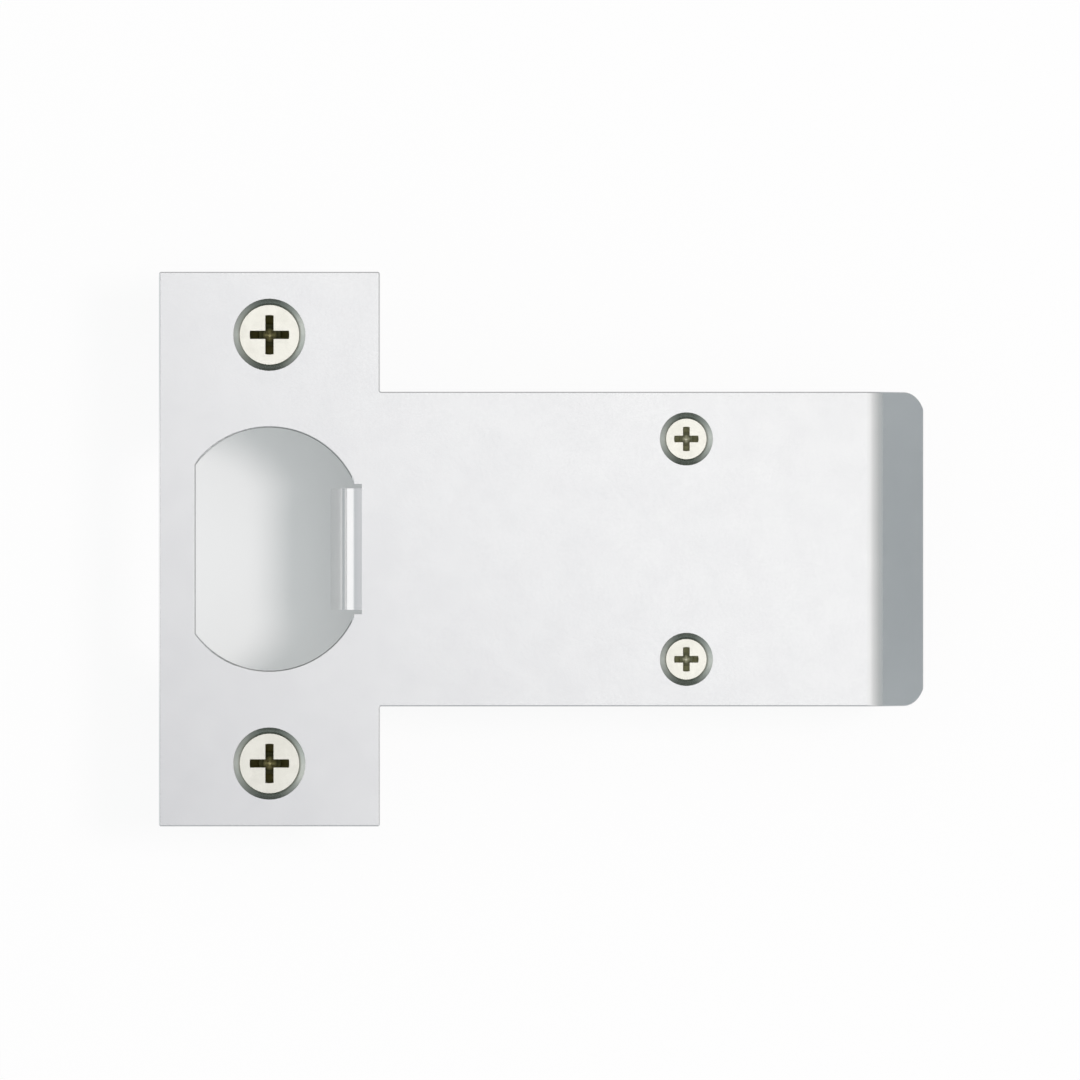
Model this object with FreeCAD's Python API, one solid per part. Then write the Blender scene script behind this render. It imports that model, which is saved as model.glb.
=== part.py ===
# A T-shaped door strike plate folded from one sheet, held by two large and two small wood screws.
# Millimetres. The origin is the centre of the face plate's screw holes, on the back of the sheet.
# +X runs out along the lip, +Y up the face plate and +Z out of the front face.
import FreeCAD, Part

import math
import os
from collections import namedtuple

from FreeCAD import Vector

# The sheet
sheet_thickness = 1.6
inside_bend_radius = 1.2
rolled_edge_radius = 0.2
corner_radius = 0.25
inner_corner_radius = 0.2

# The face plate, which stands upright on the door frame
plate_height = 69.85
plate_width = 27.8

# The lip, whose end is bent back to meet the latch
lip_width = 39.65
lip_reach = 82.55
lip_end_length = 8.0
lip_end_angle = 45.0
lip_end_corner_radius = 3.9
lip_end_nose_radius = 0.8

# The latch opening: two arcs, one above the other, cut off by a flat on the left
opening_radius = 11.6
opening_arc_offset = 3.7
opening_flat_offset = 9.3

# The tang, bent back from the opening's lip side to steady the latch
tang_width = 15.3
tang_length = 6.5
tang_angle = 78.0
tang_corner_radius = 0.8
relief_width = 0.55
relief_depth = 0.95

# The screws: a flat head that seats in a countersink, a plain body, a threaded core and a point
head_angle = 82.0
seat_clearance = 0.02
hole_clearance = 0.35
screw_length = 19.05
plain_length = 7.2
point_length = 4.2
tip_diameter = 0.5
core_taper_length = 0.5

face_screw_end_distance = 7.935
face_countersink_diameter = 9.1
face_head_diameter = 7.5
face_body_diameter = 4.17
face_core_diameter = 2.95
face_recess_width = 5.0
face_wing_width = 1.05
face_recess_depth = 2.3

lip_screw_end_distance = 30.05
lip_screw_side_distance = 5.95
lip_countersink_diameter = 6.7
lip_head_diameter = 5.1
lip_body_diameter = 2.84
lip_core_diameter = 2.0
lip_recess_width = 3.1
lip_wing_width = 0.85
lip_recess_depth = 1.5

# Both sizes of screw share the head's rim and the taper of the cross recess
head_rim_height = 0.25
recess_flank_angle = 26.5
recess_floor_angle = 28.0

# How far a cutting tool runs past what it cuts, how near two places count as one, and the steepest front face
overcut = 1.0
tolerance = 0.01
steepest_front_angle = 89.0

Screw = namedtuple("Screw", "node x y countersink head body core recess wing depth")


def screws():
    """Every screw of the plate, each with its place and sizes."""
    face = (face_countersink_diameter, face_head_diameter, face_body_diameter, face_core_diameter)
    face += (face_recess_width, face_wing_width, face_recess_depth)
    lip = (lip_countersink_diameter, lip_head_diameter, lip_body_diameter, lip_core_diameter)
    lip += (lip_recess_width, lip_wing_width, lip_recess_depth)
    face_y = plate_height / 2 - face_screw_end_distance
    lip_x = lip_reach - lip_screw_end_distance
    lip_y = lip_width / 2 - lip_screw_side_distance
    found = []
    for side, sign in (("upper", 1), ("lower", -1)):
        found.append(Screw("face_screw_" + side, 0.0, sign * face_y, *face))
        found.append(Screw("lip_screw_" + side, lip_x, sign * lip_y, *lip))
    return found


def cone_slope():
    """How much the radius of a head or a countersink grows for each millimetre of height."""
    return math.tan(math.radians(head_angle / 2))


def bend_outside_radius():
    return inside_bend_radius + sheet_thickness


def run_of_fold(straight_length, angle):
    """How far a bent flap reaches past the line where its bend begins."""
    turn = math.radians(angle)
    return bend_outside_radius() * math.sin(turn) + straight_length * math.cos(turn)


def lip_bend_x():
    """Where the lip's bend begins, so that the rounded nose of its end comes to the lip's reach."""
    turn = math.radians(lip_end_angle)
    lost_to_nose = lip_end_nose_radius * (math.cos(turn) + math.sin(turn) - 1)
    return lip_reach - run_of_fold(lip_end_length, lip_end_angle) + lost_to_nose


def outline_face(edges):
    return Part.Face(Part.Wire(Part.sortEdges(edges)[0]))


def lines(points):
    return [Part.makeLine(Vector(*a), Vector(*b)) for a, b in zip(points, points[1:])]


def round_upright_edges(solid, places, radius):
    """Round the edges that stand along Z at the given (x, y) places."""
    chosen = []
    for edge in solid.Edges:
        ends = [vertex.Point for vertex in edge.Vertexes]
        if len(ends) != 2 or abs(ends[0].z - ends[1].z) < sheet_thickness / 2:
            continue
        if any(math.hypot(ends[0].x - x, ends[0].y - y) < tolerance for x, y in places):
            chosen.append(edge)
    return solid.makeFillet(radius, chosen)


def blank():
    """The T of flat sheet: the face plate and the lip, as far as the lip's bend."""
    half_width = plate_width / 2
    half_height = plate_height / 2
    half_lip = lip_width / 2
    bend_x = lip_bend_x()
    outer = [(x, y) for x in (-half_width, half_width) for y in (-half_height, half_height)]
    inner = [(half_width, -half_lip), (half_width, half_lip)]
    plate = Part.makeBox(plate_width, plate_height, sheet_thickness, Vector(-half_width, -half_height, 0))
    lip = Part.makeBox(bend_x, lip_width, sheet_thickness, Vector(0, -half_lip, 0))
    tee = plate.fuse(lip).removeSplitter()
    tee = round_upright_edges(tee, outer, corner_radius)
    return round_upright_edges(tee, inner, inner_corner_radius)


def flap(length, width, radius):
    """A flat tongue of sheet along +X from x = 0, with its two far corners rounded."""
    half = width / 2
    near = length - radius
    bow = radius * (1 - math.sqrt(0.5))
    edges = lines([(near, -half, 0), (0, -half, 0), (0, half, 0), (near, half, 0)])
    edges += lines([(length, -half + radius, 0), (length, half - radius, 0)])
    for sign in (-1, 1):
        start = Vector(near, sign * half, 0)
        middle = Vector(length - bow, sign * (half - bow), 0)
        end = Vector(length, sign * (half - radius), 0)
        edges.append(Part.Arc(start, middle, end).toShape())
    return outline_face(edges).extrude(Vector(0, 0, sheet_thickness))


def folded_flap(length, width, radius, angle):
    """A flap that leaves the sheet at x = 0 along +X and is bent back by angle, with its bend."""
    half = width / 2
    top = sheet_thickness
    corners = [(0, -half, 0), (0, half, 0), (0, half, top), (0, -half, top), (0, -half, 0)]
    bend_axis = Vector(0, 0, -inside_bend_radius)
    across = Vector(0, 1, 0)
    bend = outline_face(lines(corners)).revolve(bend_axis, across, angle)
    straight = flap(length, width, radius)
    straight.rotate(bend_axis, across, angle)
    return bend.fuse(straight).removeSplitter()


def relief_half_height():
    return tang_width / 2 + relief_width


def nose_cutter():
    """What the lip's far edge loses where its front is rounded over, so that the latch rides onto it."""
    radius = lip_end_nose_radius
    centre = Vector(lip_end_length - radius, -lip_width / 2, sheet_thickness - radius)
    corner = Part.makeBox(radius + overcut, lip_width, radius + overcut, centre)
    rod = Part.makeCylinder(radius, lip_width, centre, Vector(0, 1, 0))
    cutter = corner.cut(rod)
    cutter.rotate(Vector(0, 0, -inside_bend_radius), Vector(0, 1, 0), lip_end_angle)
    cutter.translate(Vector(lip_bend_x(), 0, 0))
    return cutter


def opening_right_x():
    """Where the two arcs end, level with the far sides of the tang's relief notches."""
    return math.sqrt(opening_radius**2 - (relief_half_height() - opening_arc_offset) ** 2)


def tang_root_x():
    return opening_right_x() + relief_depth


def opening_cutter():
    """The latch opening as a prism through the sheet: a flat on the left, two arcs, and a flat on the right."""
    left_x = -opening_flat_offset
    left_y = opening_arc_offset + math.sqrt(opening_radius**2 - left_x**2)
    top_y = opening_arc_offset + opening_radius
    right_x = opening_right_x()
    right_y = relief_half_height()
    edges = lines([(left_x, -left_y, 0), (left_x, left_y, 0)])
    edges += lines([(right_x, -right_y, 0), (right_x, right_y, 0)])
    for sign in (-1, 1):
        start = Vector(left_x, sign * left_y, 0)
        middle = Vector(0, sign * top_y, 0)
        end = Vector(right_x, sign * right_y, 0)
        edges.append(Part.Arc(start, middle, end).toShape())
    prism = outline_face(edges).extrude(Vector(0, 0, sheet_thickness + 2 * overcut))
    prism.translate(Vector(0, 0, -overcut))
    return prism


def relief_cutter():
    """The slot that frees the tang's sides and takes the opening's edge back to the tang's root."""
    half = relief_half_height()
    corner = Vector(0, -half, -overcut)
    return Part.makeBox(tang_root_x(), 2 * half, sheet_thickness + 2 * overcut, corner)


def tang():
    """The tongue bent back from the root of the relief notches, towards the middle of the opening."""
    tongue = folded_flap(tang_length, tang_width, tang_corner_radius, tang_angle)
    tongue.rotate(Vector(0, 0, 0), Vector(0, 0, 1), 180)
    tongue.translate(Vector(tang_root_x(), 0, 0))
    return tongue


def countersink_cutter(screw):
    """A cone through the sheet for the screw's head, and a clearance hole for its body."""
    high = sheet_thickness + overcut
    low = -overcut
    wide = screw.countersink / 2 + overcut * cone_slope()
    narrow = wide - (high - low) * cone_slope()
    hole_radius = screw.body / 2 + hole_clearance
    hole = Part.makeCylinder(hole_radius, high - low, Vector(screw.x, screw.y, low))
    if narrow < hole_radius:
        low = high - (wide - hole_radius) / cone_slope()
        narrow = hole_radius
    cone = Part.makeCone(narrow, wide, high - low, Vector(screw.x, screw.y, low))
    return cone.fuse(hole)


def is_front(face):
    """True for the flat front, the outside of a bend and the front of a flap."""
    u0, u1, v0, v1 = face.ParameterRange
    u = (u0 + u1) / 2
    v = (v0 + v1) / 2
    normal = face.normalAt(u, v)
    return normal.z > math.cos(math.radians(steepest_front_angle)) and face.Area > sheet_thickness


def roll_front_edges(solid):
    """Round the edges that the punch and the tumbler leave soft, all round the front."""
    fronts = [face for face in solid.Faces if is_front(face)]
    uses = {}
    for face in fronts:
        for edge in face.Edges:
            uses.setdefault(edge.hashCode(), []).append(edge)
    rim = [found[0] for found in uses.values() if len(found) == 1]
    return solid.makeFillet(rolled_edge_radius, rim)


def roll_opening_rim(solid, cutter):
    """Round the opening's front edge, apart from its right side, which the relief slot takes away."""
    reach = cutter.BoundBox
    reach.enlarge(tolerance)
    rim = []
    for edge in solid.Edges:
        box = edge.BoundBox
        in_front = box.ZMin > sheet_thickness / 2
        if in_front and reach.isInside(box) and box.XMin < 0:
            rim.append(edge)
    return solid.makeFillet(rolled_edge_radius, rim)


def strike_plate():
    """The whole folded sheet."""
    lip_end = folded_flap(lip_end_length, lip_width, lip_end_corner_radius, lip_end_angle)
    lip_end.translate(Vector(lip_bend_x(), 0, 0))
    sheet = blank().fuse(lip_end).removeSplitter()
    sheet = roll_front_edges(sheet).cut(nose_cutter())
    opening = opening_cutter()
    sheet = roll_opening_rim(sheet.cut(opening), opening)
    sheet = sheet.cut(relief_cutter())
    sheet = sheet.fuse(tang()).removeSplitter()
    for screw in screws():
        sheet = sheet.cut(countersink_cutter(screw))
    return sheet


def head_top_z(screw):
    """Where the flat top of a seated head lies: its rim stands a little above the cone's widest part."""
    cone_depth = (screw.countersink - screw.head) / 2 / cone_slope()
    lift = seat_clearance / math.sin(math.radians(head_angle / 2))
    return sheet_thickness - cone_depth + head_rim_height + lift


def revolved(profile):
    """A solid turned about Z from (radius, z) points that begin and end on the axis."""
    points = [(r, 0, z) for r, z in profile]
    face = outline_face(lines(points + points[:1]))
    return face.revolve(Vector(0, 0, 0), Vector(0, 0, 1), 360)


def cross_recess(screw):
    """The driver's cross, cut down from z = 0: four wings that narrow to a shallow conical floor."""
    flank = math.tan(math.radians(recess_flank_angle))
    wide = screw.recess / 2
    narrow = wide - screw.depth * flank
    floor_drop = narrow * math.tan(math.radians(recess_floor_angle))
    taper = [
        (0, overcut),
        (wide + overcut * flank, overcut),
        (narrow, -screw.depth),
        (0, -screw.depth - floor_drop),
    ]
    tall = overcut + screw.depth + floor_drop
    low = Vector(-screw.recess, -screw.wing / 2, overcut - tall)
    wings = Part.makeBox(2 * screw.recess, screw.wing, tall, low)
    other = wings.copy()
    other.rotate(Vector(0, 0, 0), Vector(0, 0, 1), 90)
    web = Part.makeBox(screw.wing, screw.wing, tall, Vector(-screw.wing / 2, -screw.wing / 2, overcut - tall))
    web.rotate(Vector(0, 0, 0), Vector(0, 0, 1), 45)
    return revolved(taper).common(wings.fuse([other, web]))


def wood_screw(screw):
    """A seated screw: turned blank with its recess cut in. The thread's crest is the body's diameter."""
    head = screw.head / 2
    body = screw.body / 2
    core = screw.core / 2
    head_end = -head_rim_height - (head - body) / cone_slope()
    turned = [
        (0, 0),
        (head, 0),
        (head, -head_rim_height),
        (body, head_end),
        (body, -plain_length),
        (core, -plain_length - core_taper_length),
        (core, point_length - screw_length),
        (tip_diameter / 2, -screw_length),
        (0, -screw_length),
    ]
    solid = revolved(turned).cut(cross_recess(screw))
    solid.translate(Vector(screw.x, screw.y, head_top_z(screw)))
    return solid


def main():
    os.makedirs("parts", exist_ok=True)
    nodes = {"strike_plate": strike_plate()}
    for screw in screws():
        nodes[screw.node] = wood_screw(screw)
    for node, shape in nodes.items():
        shape.exportStep(f"parts/{node}.step")
        print(node, "valid" if shape.isValid() else "not valid", round(shape.Volume, 2), shape.BoundBox)


main()
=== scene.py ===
# %% [markdown]
# # A door strike plate in satin nickel
# A T-shaped strike plate lies face up on the tips of its four screws. The solids come from the CAD model
# and keep their shape. This script gives them their finish, winds the threads on the screws, and lights
# and frames the scene.

# %% Load the fixed frame
import math

import bpy
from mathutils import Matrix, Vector


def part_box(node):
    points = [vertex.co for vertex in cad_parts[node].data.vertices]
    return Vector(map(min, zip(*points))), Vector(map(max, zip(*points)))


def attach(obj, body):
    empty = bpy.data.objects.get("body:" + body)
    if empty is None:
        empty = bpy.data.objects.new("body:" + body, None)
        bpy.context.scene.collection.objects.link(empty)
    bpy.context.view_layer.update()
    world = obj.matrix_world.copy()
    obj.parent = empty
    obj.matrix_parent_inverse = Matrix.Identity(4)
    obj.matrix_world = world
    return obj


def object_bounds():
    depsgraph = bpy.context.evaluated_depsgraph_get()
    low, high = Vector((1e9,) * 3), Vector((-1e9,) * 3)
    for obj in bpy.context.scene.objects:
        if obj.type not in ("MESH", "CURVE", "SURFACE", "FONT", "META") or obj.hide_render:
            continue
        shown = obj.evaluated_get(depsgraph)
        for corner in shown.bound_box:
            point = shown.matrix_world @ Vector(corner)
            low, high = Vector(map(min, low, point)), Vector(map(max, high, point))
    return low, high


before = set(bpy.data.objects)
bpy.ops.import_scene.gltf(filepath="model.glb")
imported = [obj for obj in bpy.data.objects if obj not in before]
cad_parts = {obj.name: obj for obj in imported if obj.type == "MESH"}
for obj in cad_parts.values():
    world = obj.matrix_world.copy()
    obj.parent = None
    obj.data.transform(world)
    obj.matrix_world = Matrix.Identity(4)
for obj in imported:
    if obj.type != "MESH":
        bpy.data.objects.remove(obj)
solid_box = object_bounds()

MM = 0.001
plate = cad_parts["strike_plate"]
print("CAD box", [round(x, 5) for corner in solid_box for x in corner])

# %% [markdown]
# ## Places read from the frame
# Everything below is placed from the solids: the front of the sheet is the top of the plate's box, the
# screws' axes are the middles of their boxes, and the part rests on the lowest point of its screws.

# %% Find the screws and the front of the sheet
front_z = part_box("strike_plate")[1].z
rest_z = solid_box[0].z


def screw_axis(node):
    low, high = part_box(node)
    return Vector(((low.x + high.x) / 2, (low.y + high.y) / 2, high.z))


face_screw = screw_axis("face_screw_upper")
lip_screw = screw_axis("lip_screw_upper")
print("face screw", face_screw, "lip screw", lip_screw, "front", front_z, "rest", rest_z)

# %% [markdown]
# ## Shader helpers
# Every finish is a small web of nodes. These helpers add a node, wire its inputs and hand back its
# output, so that a material reads as a list of what it does. All patterns use Object coordinates, so they
# stay on the metal.

# %% Helpers that build node webs


def new_material(name):
    material = bpy.data.materials.new(name)
    material.use_nodes = True
    material.node_tree.nodes.clear()
    return material


def add_node(tree, kind, inputs=None, **settings):
    node = tree.nodes.new(kind)
    for key, value in settings.items():
        setattr(node, key, value)
    for key, value in (inputs or {}).items():
        if isinstance(value, bpy.types.NodeSocket):
            tree.links.new(value, node.inputs[key])
        else:
            node.inputs[key].default_value = value
    return node


def calculate(tree, operation, *values):
    """One Math node: its result as a socket."""
    node = add_node(tree, "ShaderNodeMath", dict(enumerate(values)), operation=operation)
    return node.outputs[0]


def object_point(tree):
    return add_node(tree, "ShaderNodeTexCoord").outputs["Object"]


def object_facing(tree):
    """Which way the surface faces, in the object's own axes."""
    return add_node(tree, "ShaderNodeTexCoord").outputs["Normal"]


def parts_of(tree, vector):
    """A vector's three parts as sockets, named X, Y and Z."""
    return add_node(tree, "ShaderNodeSeparateXYZ", {0: vector}).outputs


def noise(tree, point, size, detail=2.0):
    """A cloudy pattern from 0 to 1 whose patches are about size across."""
    inputs = {"Vector": point, "Scale": 1 / size, "Detail": detail}
    return add_node(tree, "ShaderNodeTexNoise", inputs).outputs["Fac"]


def fade(tree, value, start, end, low=0.0, high=1.0):
    """Runs from low to high while value runs from start to end, and holds outside."""
    inputs = {"Value": value, "From Min": start, "From Max": end, "To Min": low, "To Max": high}
    return add_node(tree, "ShaderNodeMapRange", inputs, clamp=True).outputs["Result"]


def blend_colours(tree, share, first, second):
    node = add_node(tree, "ShaderNodeMix", {0: share, 6: first, 7: second}, data_type="RGBA")
    return node.outputs[2]


def distance_from_axis(tree, point, axis):
    """How far a point lies from an upright axis, with the part's lower half folded onto its upper half."""
    place = parts_of(tree, point)
    across = calculate(tree, "SUBTRACT", place["X"], axis.x)
    up = calculate(tree, "SUBTRACT", calculate(tree, "ABSOLUTE", place["Y"]), axis.y)
    squares = calculate(tree, "MULTIPLY_ADD", across, across, calculate(tree, "MULTIPLY", up, up))
    return calculate(tree, "SQRT", squares)


def finish_metal(material, colour, roughness, bump_height, grain_depth):
    """Joins colour, roughness and bump in one metal shader."""
    tree = material.node_tree
    relief = {"Height": bump_height, "Distance": grain_depth, "Strength": 1.0}
    bump = add_node(tree, "ShaderNodeBump", relief)
    inputs = {"Base Color": colour, "Metallic": 1.0, "Roughness": roughness, "Normal": bump.outputs[0]}
    shader = add_node(tree, "ShaderNodeBsdfPrincipled", inputs)
    add_node(tree, "ShaderNodeOutputMaterial", {"Surface": shader.outputs[0]})
    return material


# %% [markdown]
# ## The satin nickel sheet
# The plate is steel sheet with satin nickel plating: a fine random grain with a slightly cloudy sheen.
# Where a tool has cut it, the sheet is drawn darker. The masks below find those places by their shape: the
# cones of the countersinks, which are duller machined metal and darker still as painted shade, the upright
# sides that the shears left, and the rolled rim at the latch's side of the opening.

# %% Find the countersinks
HEAD_SLOPE = math.tan(math.radians(41))
FACE_SINK_RADIUS = 4.55 * MM
LIP_SINK_RADIUS = 3.35 * MM
SINK_INNER_EDGE = 0.02 * MM
SINK_OUTER_EDGE = 0.05 * MM
SKIN_START = 0.005 * MM
SKIN_END = 0.02 * MM
ACROSS_END = -0.5
ALONG_START = 0.75


def inside_countersink(tree, point, axis, radius):
    """1 on the cone of a countersink, and 0 on the sheet round it."""
    away = distance_from_axis(tree, point, axis)
    below = calculate(tree, "SUBTRACT", front_z, parts_of(tree, point)["Z"])
    reach = calculate(tree, "MULTIPLY_ADD", below, HEAD_SLOPE, away)
    in_cone = fade(tree, reach, radius + SINK_OUTER_EDGE, radius + SINK_INNER_EDGE)
    under_front = fade(tree, below, SKIN_START, SKIN_END)
    return calculate(tree, "MULTIPLY", in_cone, under_front)


def facing_along(tree):
    """1 where a wall faces along the sheet's length, and 0 where it faces across it. It picks the painted
    lit copy of a countersink's wall and its rougher finish.
    """
    facing = parts_of(tree, object_facing(tree))
    along = calculate(tree, "ABSOLUTE", facing["X"])
    across = calculate(tree, "ABSOLUTE", facing["Y"])
    return fade(tree, calculate(tree, "SUBTRACT", along, across), ACROSS_END, ALONG_START)


print("countersinks", FACE_SINK_RADIUS, LIP_SINK_RADIUS)

# %% Find the sheared sides and the punched rim
UPRIGHT_RISE = 0.08
SLOPING_RISE = 0.16
RIM_RISE = 0.93
FLAT_RISE = 0.99
RIM_DEPTH = 0.25 * MM
RIM_FADE_START = -9.3 * MM
RIM_FADE_END = 3 * MM
RIM_RIGHT = 10.4 * MM
RIM_HALF_HEIGHT = 15.7 * MM


def sheared_side(tree):
    """1 on the upright sides that the shears and the punch left, and 0 on the faces."""
    rise = calculate(tree, "ABSOLUTE", parts_of(tree, object_facing(tree))["Z"])
    return fade(tree, rise, UPRIGHT_RISE, SLOPING_RISE, 1.0, 0.0)


def punched_rim(tree, point):
    """1 on the rolled rim at the latch's side of the opening, fading to its left."""
    rise = parts_of(tree, object_facing(tree))["Z"]
    share = fade(tree, rise, RIM_RISE, FLAT_RISE, 1.0, 0.0)
    place = parts_of(tree, point)
    # The rim is drawn darker towards the right of the opening, fading out to its left.
    rightward = fade(tree, place["X"], RIM_FADE_START, RIM_FADE_END)
    in_rim = calculate(tree, "GREATER_THAN", place["Z"], front_z - RIM_DEPTH)
    before_tang = calculate(tree, "LESS_THAN", place["X"], RIM_RIGHT)
    by_opening = calculate(tree, "LESS_THAN", calculate(tree, "ABSOLUTE", place["Y"]), RIM_HALF_HEIGHT)
    for limit in (rightward, in_rim, before_tang, by_opening):
        share = calculate(tree, "MULTIPLY", share, limit)
    return share


print("rim to", RIM_HALF_HEIGHT, "above and below the middle")

# %% [markdown]
# ### Its finish
# A countersink's wall is rougher where it faces along the sheet than where it faces across. It is also
# painted lighter there as painted light, and darker across as painted shade, so each screw sits in a ring
# that is darkest at its top and bottom.

# %% The sheet's finish
SHEET_PALE = (0.733, 0.733, 0.733, 1)
SHEET_CLOUD = (0.715, 0.715, 0.717, 1)
# A countersink's wall: duller machined metal, darkened further as painted shade, with a lighter copy as
# painted light where it faces along the sheet.
DULL_AND_SHADED_SINK_WALL = (0.31, 0.34, 0.32, 1)
PAINTED_LIT_SINK_WALL = (0.80, 0.82, 0.79, 1)
SHEARED = (0.56, 0.56, 0.565, 1)
PUNCHED_RIM = (0.30, 0.31, 0.305, 1)
CLOUD_SIZE = 4.5 * MM
CLOUD_DETAIL = 5.0
CLOUD_START = 0.35
CLOUD_END = 0.65
GRAIN_SIZE = 0.22 * MM
GRAIN_DETAIL = 3.0
GRAIN_START = 0.3
GRAIN_END = 0.7
GRAIN_DEPTH = 0.0012 * MM
SHEET_SMOOTHEST = 0.147
SHEET_ROUGHEST = 0.183
CUT_ROUGHER = 0.2
WALL_ROUGHER_ACROSS = 0.1
WALL_ROUGHER_ALONG = 0.35


def make_sheet():
    material = new_material("satin_nickel_sheet")
    tree = material.node_tree
    point = object_point(tree)
    clouds = noise(tree, point, CLOUD_SIZE, CLOUD_DETAIL)
    grain = noise(tree, point, GRAIN_SIZE, GRAIN_DETAIL)
    cloudy = fade(tree, clouds, CLOUD_START, CLOUD_END)
    plated = blend_colours(tree, cloudy, SHEET_PALE, SHEET_CLOUD)
    face_wall = inside_countersink(tree, point, face_screw, FACE_SINK_RADIUS)
    lip_wall = inside_countersink(tree, point, lip_screw, LIP_SINK_RADIUS)
    wall = calculate(tree, "MAXIMUM", face_wall, lip_wall)
    sheared = sheared_side(tree)
    rim = punched_rim(tree, point)
    darker_cuts = blend_colours(tree, rim, blend_colours(tree, sheared, plated, SHEARED), PUNCHED_RIM)
    along = facing_along(tree)
    # Painted light and shade: each countersink wall takes the lighter copy where it faces along the sheet
    # and the darker copy where it faces across.
    colour = blend_colours(tree, wall, darker_cuts, blend_colours(tree, along, DULL_AND_SHADED_SINK_WALL, PAINTED_LIT_SINK_WALL))
    satin = fade(tree, grain, GRAIN_START, GRAIN_END, SHEET_SMOOTHEST, SHEET_ROUGHEST)
    cut = calculate(tree, "MAXIMUM", sheared, rim)
    rough = calculate(tree, "MULTIPLY_ADD", cut, CUT_ROUGHER, satin)
    wall_rough = fade(tree, along, 0.0, 1.0, WALL_ROUGHER_ACROSS, WALL_ROUGHER_ALONG)
    roughness = calculate(tree, "MULTIPLY_ADD", wall, wall_rough, rough)
    return finish_metal(material, colour, roughness, grain, GRAIN_DEPTH)


sheet_finish = make_sheet()
plate.data.materials[0] = sheet_finish
print("sheet finish on", plate.name)

# %% [markdown]
# ## The nickel screws
# The screws are a warmer nickel than the plate. Their heads are smooth, and the cross recess is olive where
# plating residue stays, darkened as painted shade, with a painted highlight at its floor.

# %% The screws' finish
SCREW_PALE = Vector((0.80, 0.785, 0.71))
SCREW_CLOUD = Vector((0.75, 0.735, 0.66))
SCREW_CLOUD_SIZE = 1.6 * MM
SCREW_GRAIN_SIZE = 0.15 * MM
SCREW_GRAIN_DEPTH = 0.002 * MM
SCREW_SMOOTHEST = 0.16
SCREW_ROUGHEST = 0.21
RECESS_TAPER = math.tan(math.radians(26.5))
RECESS_INNER_EDGE = 0.03 * MM
RECESS_OUTER_EDGE = 0.08 * MM
RECESS_START = 0.01 * MM
RECESS_FULL = 0.06 * MM
RECESS_ROUGHER = 0.15
# The painted highlight at the recess's floor reaches out to these shares of its radius.
HIGHLIGHT_SHARE = 0.2
HIGHLIGHT_FADE_SHARE = 0.36
FACE_SCREW = {
    "axis": face_screw,
    "tone": 1.04,
    "recess": 2.5 * MM,
    "olive_recess_shade": (0.10, 0.098, 0.047, 1),
    "olive_recess_highlight": (0.70, 0.64, 0.34, 1),
}
LIP_SCREW = {
    "axis": lip_screw,
    # The lip screws' lower tone is painted shade that evens out the brighter light on the lip.
    "tone": 1.02,
    "recess": 1.55 * MM,
    "olive_recess_shade": (0.27, 0.27, 0.18, 1),
    "olive_recess_highlight": (1.0, 0.98, 0.80, 1),
}


def make_screw(name, screw):
    """The tone makes a screw's plating a little paler, and 1 leaves it as it is."""
    material = new_material(name)
    tree = material.node_tree
    point = object_point(tree)
    clouds = noise(tree, point, SCREW_CLOUD_SIZE)
    grain = noise(tree, point, SCREW_GRAIN_SIZE)
    pale = (*(SCREW_PALE * screw["tone"]), 1)
    cloud = (*(SCREW_CLOUD * screw["tone"]), 1)
    plated = blend_colours(tree, fade(tree, clouds, CLOUD_START, CLOUD_END), pale, cloud)
    away = distance_from_axis(tree, point, screw["axis"])
    below = calculate(tree, "SUBTRACT", screw["axis"].z, parts_of(tree, point)["Z"])
    reach = calculate(tree, "MULTIPLY_ADD", below, RECESS_TAPER, away)
    radius = screw["recess"]
    in_taper = fade(tree, reach, radius + RECESS_OUTER_EDGE, radius + RECESS_INNER_EDGE)
    recess = calculate(tree, "MULTIPLY", in_taper, fade(tree, below, RECESS_START, RECESS_FULL))
    # Painted shade and highlight: the recess is dark olive, with a bright spot at its middle.
    from_middle = fade(tree, away, HIGHLIGHT_SHARE * radius, HIGHLIGHT_FADE_SHARE * radius)
    inside = blend_colours(tree, from_middle, screw["olive_recess_highlight"], screw["olive_recess_shade"])
    colour = blend_colours(tree, recess, plated, inside)
    satin = fade(tree, grain, GRAIN_START, GRAIN_END, SCREW_SMOOTHEST, SCREW_ROUGHEST)
    roughness = calculate(tree, "MULTIPLY_ADD", recess, RECESS_ROUGHER, satin)
    return finish_metal(material, colour, roughness, grain, SCREW_GRAIN_DEPTH)


face_screw_finish = make_screw("nickel_face_screw", FACE_SCREW)
lip_screw_finish = make_screw("nickel_lip_screw", LIP_SCREW)
for side in ("upper", "lower"):
    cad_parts["face_screw_" + side].data.materials[0] = face_screw_finish
    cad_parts["lip_screw_" + side].data.materials[0] = lip_screw_finish
print("screw finishes made")

# %% [markdown]
# ## The threads
# The solids carry plain cores where a wood screw has its thread. The ridge could be a spiral curve with a
# bevel, but then its flanks would lean as the spiral turns. It is wound here as a tool would cut it: one
# flat profile is extruded, turned about the screw's axis and lowered, again and again. It grows out of
# the shank over its first half turn, and shrinks towards the axis along the point.

# %% Sizes of the two threads
POINT_LENGTH = 4.2 * MM
THREAD_LENGTH = 11.95 * MM
TIP_GAP = 0.12 * MM
core_end = rest_z + POINT_LENGTH
thread_top = rest_z + THREAD_LENGTH
thread_end = rest_z + TIP_GAP
TIP_SHARE = 0.17
SINK = 0.12 * MM
STEPS_PER_TURN = 36
RISING_STEPS = 18
THREADS = {
    "face": {"axis": face_screw, "crest": 2.085 * MM, "core": 1.475 * MM, "pitch": 1.69 * MM},
    "lip": {"axis": lip_screw, "crest": 1.42 * MM, "core": 1.0 * MM, "pitch": 1.15 * MM},
}


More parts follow.
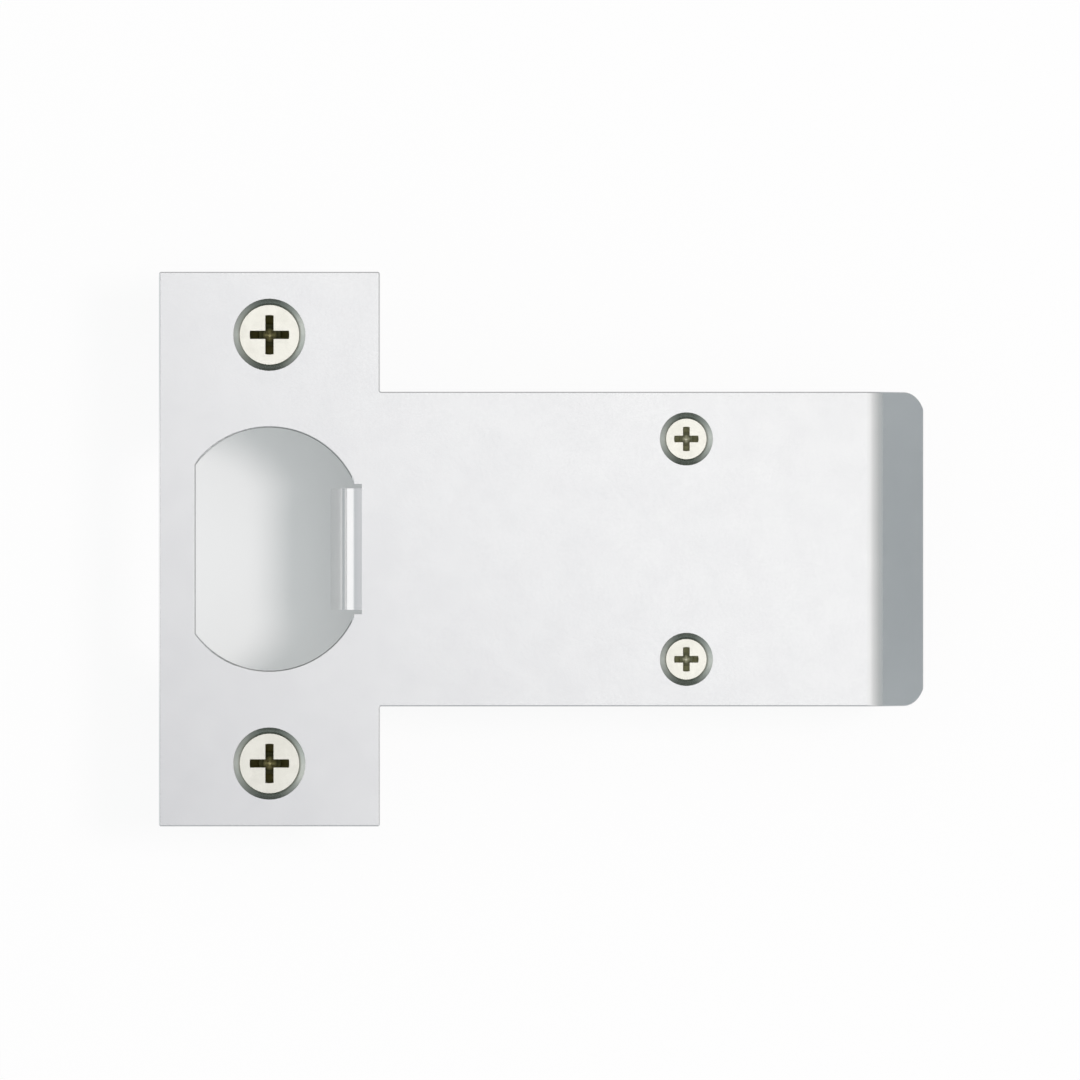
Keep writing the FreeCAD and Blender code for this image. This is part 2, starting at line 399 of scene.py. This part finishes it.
def share_of_core(level):
    """How wide the core is at a level: 1 along its straight part, shrinking evenly along the point."""
    way = (core_end - level) / (core_end - rest_z)
    return 1 - (1 - TIP_SHARE) * max(0.0, min(1.0, way))


turns = (thread_top - thread_end) / THREADS["face"]["pitch"]
print("face thread turns", round(turns, 1))

# %% [markdown]
# ### The profile
# A thread's ridge is about as wide at its foot as two thirds of its pitch, and nearly sharp at its crest.
# A plane stood on edge, with its outer edge squeezed, gives that section, and its foot is sunk a little
# in the core.

# %% Draw a thread's profile
FOOT_SHARE = 0.62
CREST_WIDTH = 0.12


def select_beyond(mesh, axis, radius):
    """Selects the vertices that lie further than a radius from an axis."""
    bpy.ops.object.mode_set(mode="OBJECT")
    for vertex in mesh.vertices:
        out = (vertex.co.xy - axis.xy).length
        vertex.select = out > radius
    bpy.ops.object.mode_set(mode="EDIT")


def draw_profile(name, size):
    bpy.ops.object.select_all(action="DESELECT")
    axis = size["axis"]
    inner = size["core"] - SINK
    middle = (inner + size["crest"]) / 2
    place = (axis.x + middle, axis.y, thread_top)
    bpy.ops.mesh.primitive_plane_add(size=1, location=place, rotation=(math.pi / 2, 0, 0))
    ridge = bpy.context.object
    ridge.name = name
    ridge.scale = (size["crest"] - inner, FOOT_SHARE * size["pitch"], 1)
    bpy.ops.object.transform_apply(location=True, rotation=True, scale=True)
    bpy.ops.object.mode_set(mode="EDIT")
    bpy.ops.mesh.select_mode(type="VERT")
    select_beyond(ridge.data, axis, middle)
    bpy.ops.transform.resize(value=(1, 1, CREST_WIDTH), center_override=(axis.x, axis.y, thread_top))
    bpy.ops.mesh.select_all(action="SELECT")
    return ridge


# %% [markdown]
# ### Winding the ridge
# Each step extrudes the end face, turns it by a small part of a turn, lowers it by as much of the pitch,
# and scales it to the core's width there. The end faces close the ridge, inside the shank and at the tip.

# %% Wind the threads
TURN = 2 * math.pi / STEPS_PER_TURN
START_SHARE = 0.72
CREASE = math.radians(40)


def wind_thread(name, size):
    ridge = draw_profile(name, size)
    axis = size["axis"]
    drop = size["pitch"] / STEPS_PER_TURN
    steps = int((thread_top - thread_end) / drop)
    start = (axis.x, axis.y, thread_top)
    bpy.ops.transform.resize(value=(START_SHARE, START_SHARE, 1), center_override=start)
    share = START_SHARE
    for step in range(1, steps + 1):
        level = thread_top - drop * step
        risen = START_SHARE + (1 - START_SHARE) * min(1.0, step / RISING_STEPS)
        wanted = risen * share_of_core(level)
        growth = wanted / share
        height_growth = share_of_core(level) / share_of_core(level + drop)
        pivot = (axis.x, axis.y, level)
        bpy.ops.mesh.extrude_region()
        bpy.ops.transform.rotate(value=TURN, orient_axis="Z", center_override=pivot)
        bpy.ops.transform.translate(value=(0, 0, -drop))
        bpy.ops.transform.resize(value=(growth, growth, height_growth), center_override=pivot)
        share = wanted
    bpy.ops.mesh.select_all(action="SELECT")
    bpy.ops.mesh.normals_make_consistent(inside=False)
    bpy.ops.object.mode_set(mode="OBJECT")
    bpy.ops.object.shade_smooth_by_angle(angle=CREASE)
    print(name, steps, "steps,", len(ridge.data.vertices), "vertices")
    return ridge


def finish_thread(thread, material):
    thread.data.materials.clear()
    thread.data.materials.append(material)
    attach(thread, "root")


for kind, size in THREADS.items():
    finish = face_screw_finish if kind == "face" else lip_screw_finish
    thread = wind_thread(kind + "_thread_upper", size)
    bpy.ops.object.duplicate(linked=False)
    twin = bpy.context.object
    twin.name = kind + "_thread_lower"
    twin.data.name = twin.name
    bpy.ops.transform.translate(value=(0, -2 * size["axis"].y, 0))
    bpy.ops.object.transform_apply(location=True, rotation=False, scale=False)
    finish_thread(thread, finish)
    finish_thread(twin, finish)

# %% [markdown]
# ## The camera
# The picture looks straight down on the plate from far away, and a long lens keeps its edges almost
# parallel.

# %% Camera
FIELD = 135.95 * MM
LENS = 400
SENSOR = 36
CENTRE = Vector((34.07 * MM, 1.15 * MM, front_z))


def make_camera():
    data = bpy.data.cameras.new("camera")
    data.lens = LENS
    data.sensor_width = SENSOR
    camera = bpy.data.objects.new("camera", data)
    bpy.context.scene.collection.objects.link(camera)
    distance = FIELD * LENS / SENSOR
    camera.location = CENTRE + Vector((0, 0, distance))
    data.clip_start = distance / 100
    data.clip_end = distance * 10
    bpy.context.scene.camera = camera
    print("camera", round(distance, 3), "m above the plate")


make_camera()

# %% [markdown]
# ## The floor
# A white table, which shows as white to the camera and in reflections. The paper under the part is left as
# it is lit, because the shade that the plate throws on it shows through the latch opening. That paper is
# tinted a little cooler than the rest, as painted cool shade.

# %% Floor
FLOOR_SIZE = 6.0
LIP_HALF_WIDTH = 19.8 * MM
PAPER_WHITE = (0.86, 0.86, 0.86, 1)
# The paper under the part is painted a cooler tint, standing in for the cool light in its shade.
COOL_SHADE_PAPER = (0.86, 0.88, 0.876, 1)
LIFT_AROUND = 0.9
LIFT_UNDER = 0.06
UNDER_INSET = 0.7 * MM
UNDER_EDGE = 2.5 * MM


def beside_box(tree, place, low, high):
    """How far a point of the floor lies outside an upright box, or below zero inside it."""
    sides = []
    for part, start, end in (("X", low.x, high.x), ("Y", low.y, high.y)):
        away = calculate(tree, "ABSOLUTE", calculate(tree, "SUBTRACT", place[part], (start + end) / 2))
        sides.append(calculate(tree, "SUBTRACT", away, (end - start) / 2 - UNDER_INSET))
    return calculate(tree, "MAXIMUM", *sides)


def around_part(tree):
    """0 on the paper under the plate and the lip, and 1 on the rest of the table."""
    low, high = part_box("strike_plate")
    place = parts_of(tree, object_point(tree))
    upright = beside_box(tree, place, low, Vector((-low.x, high.y, 0)))
    lip = beside_box(tree, place, Vector((low.x, -LIP_HALF_WIDTH, 0)), Vector((high.x, LIP_HALF_WIDTH, 0)))
    return fade(tree, calculate(tree, "MINIMUM", upright, lip), -UNDER_EDGE, 0.0)


def make_floor():
    bpy.ops.object.select_all(action="DESELECT")
    bpy.ops.mesh.primitive_plane_add(size=FLOOR_SIZE, location=(0, 0, rest_z))
    floor = bpy.context.object
    floor.name = "table"
    material = new_material("white_table")
    tree = material.node_tree
    around = around_part(tree)
    paper_colour = blend_colours(tree, around, COOL_SHADE_PAPER, PAPER_WHITE)
    paper = add_node(tree, "ShaderNodeBsdfDiffuse", {"Color": paper_colour})
    glow = add_node(tree, "ShaderNodeEmission", {"Color": (1, 1, 1, 1), "Strength": 1.0})
    path = add_node(tree, "ShaderNodeLightPath")
    seen = calculate(tree, "MAXIMUM", path.outputs["Is Camera Ray"], path.outputs["Is Glossy Ray"])
    seen = calculate(tree, "MAXIMUM", seen, path.outputs["Is Transmission Ray"])
    lift = calculate(tree, "MULTIPLY_ADD", around, LIFT_AROUND - LIFT_UNDER, LIFT_UNDER)
    share = calculate(tree, "MULTIPLY", seen, lift)
    mixed = add_node(tree, "ShaderNodeMixShader", {0: share, 1: paper.outputs[0], 2: glow.outputs[0]})
    add_node(tree, "ShaderNodeOutputMaterial", {"Surface": mixed.outputs[0]})
    floor.data.materials.append(material)
    return floor


make_floor()
print("table at", round(rest_z, 5))

# %% [markdown]
# ## The cards beside the plate
# A satin sheet is drawn by what it mirrors, and these cards show only in its reflections. The lip's bent
# end leans to the right, so a grey card there gives it its even tone. The tang bends down to the left: a
# glowing strip draws the white line along it as a painted highlight, and a small card under the plate,
# which glows grey, draws the dark line beside that as a painted reflection.

# %% Cards
CARDS = {
    "right_card": {
        "place": 100 * MM,
        "width": 120 * MM,
        "low": rest_z,
        "high": 1 * MM,
        "colour": (0.68, 0.72, 0.74, 1),
    },
    # This card glows grey and only reflections see it: a painted dark reflection on the tang.
    "tang_card": {
        "place": -13 * MM,
        "width": 40 * MM,
        "low": rest_z,
        "high": -4 * MM,
        "glow": (0.56, 0.59, 0.60, 1),
    },
    # This strip glows and only reflections see it: a painted highlight along the tang's bend.
    "strip_light": {
        "place": -90 * MM,
        "width": 36 * MM,
        "low": 5 * MM,
        "high": 105 * MM,
        "glow": (1.3, 1.3, 1.3, 1),
    },
}


def make_card(name, size):
    """An upright card that only reflections see, so it hides nothing from the camera and shades nothing."""
    bpy.ops.object.select_all(action="DESELECT")
    tall = size["high"] - size["low"]
    middle = (size["place"], 0, size["low"] + tall / 2)
    bpy.ops.mesh.primitive_plane_add(size=1, location=middle, rotation=(0, -math.pi / 2, 0))
    card = bpy.context.object
    card.name = name
    card.scale = (tall, size["width"], 1)
    card.visible_camera = False
    card.visible_diffuse = False
    card.visible_shadow = False
    material = new_material(name)
    tree = material.node_tree
    if "glow" in size:
        face = add_node(tree, "ShaderNodeEmission", {"Color": size["glow"], "Strength": 1.0})
    else:
        face = add_node(tree, "ShaderNodeBsdfDiffuse", {"Color": size["colour"]})
    add_node(tree, "ShaderNodeOutputMaterial", {"Surface": face.outputs[0]})
    card.data.materials.append(material)
    return card


for name, size in CARDS.items():
    make_card(name, size)
print("cards", ", ".join(CARDS))

# %% [markdown]
# ## The light
# A slightly warm key lamp high at the right throws the plate's soft shade on the paper, which looks cool
# beside it, also because the paper under the plate is tinted cool as painted shade. The rest of the light
# is a sky whose tone changes across the plate. It is bright overhead, with a dark edge just left of that,
# so the flat sheet shades off towards its lower left. It is darker to the right, where the bend mirrors it.

# %% Light
KEY_ELEVATION = math.radians(64)
KEY_AZIMUTH = math.radians(9)
KEY_DISTANCE = 1.2
KEY_SIZE = 0.32
KEY_POWER = 5.35
KEY_COLOUR = (1.0, 0.91, 0.91)
SKY_SKEW = 0.8
SKY_STOPS = (
    (-90, (0.86, 0.92, 0.93)),
    (-50, (0.85, 0.91, 0.92)),
    (-36, (0.70, 0.72, 0.74)),
    (-20, (0.77, 0.79, 0.81)),
    (-9, (0.80, 0.81, 0.83)),
    (-5, (0.435, 0.445, 0.48)),
    (-2.5, (0.655, 0.655, 0.685)),
    (-1, (1.415, 1.415, 1.43)),
    (0.5, (1.80, 1.80, 1.80)),
    (2, (1.34, 1.34, 1.34)),
    (3.5, (1.11, 1.11, 1.11)),
    (12, (1.22, 1.22, 1.22)),
    (32, (0.90, 0.90, 0.90)),
    (66, (0.62, 0.64, 0.64)),
    (90, (0.54, 0.57, 0.58)),
)
SKY_SIDE_START = 0.25
SKY_SIDE_END = 0.8
SKY_SIDE_SHARE = 0.6


def make_key():
    data = bpy.data.lights.new("key", "AREA")
    data.shape = "DISK"
    data.size = KEY_SIZE
    data.energy = KEY_POWER
    data.color = KEY_COLOUR
    lamp = bpy.data.objects.new("key", data)
    bpy.context.scene.collection.objects.link(lamp)
    out = Vector((math.cos(KEY_AZIMUTH), math.sin(KEY_AZIMUTH), 0)) * math.cos(KEY_ELEVATION)
    out.z = math.sin(KEY_ELEVATION)
    lamp.location = CENTRE + out * KEY_DISTANCE
    lamp.rotation_mode = "QUATERNION"
    lamp.rotation_quaternion = out.to_track_quat("Z", "Y")
    lamp.visible_glossy = False
    return lamp


def make_sky():
    world = bpy.data.worlds.new("studio")
    world.use_nodes = True
    tree = world.node_tree
    tree.nodes.clear()
    direction = parts_of(tree, add_node(tree, "ShaderNodeTexCoord").outputs["Generated"])
    across = calculate(tree, "MULTIPLY_ADD", direction["Y"], SKY_SKEW, direction["X"])
    lean = calculate(tree, "ARCTAN2", across, direction["Z"])
    ramp = add_node(tree, "ShaderNodeValToRGB", {0: fade(tree, lean, -math.pi / 2, math.pi / 2)})
    stops = ramp.color_ramp.elements
    while len(stops) < len(SKY_STOPS):
        stops.new(1.0)
    for stop, (angle, colour) in zip(stops, SKY_STOPS):
        stop.position = (angle + 90) / 180
        stop.color = (*colour, 1)
    aside = calculate(tree, "ABSOLUTE", direction["Y"])
    strength = fade(tree, aside, SKY_SIDE_START, SKY_SIDE_END, 1.0, SKY_SIDE_SHARE)
    sky = add_node(tree, "ShaderNodeBackground", {"Color": ramp.outputs["Color"], "Strength": strength})
    add_node(tree, "ShaderNodeOutputWorld", {"Surface": sky.outputs[0]})
    bpy.context.scene.world = world


make_key()
make_sky()
print("key", KEY_POWER, "W and a sky of", len(SKY_STOPS), "tones")

# %% [markdown]
# ## The view
# The view is plain, so that colours come out as they are written.

# %% Finish
bpy.context.scene.view_settings.view_transform = "Standard"
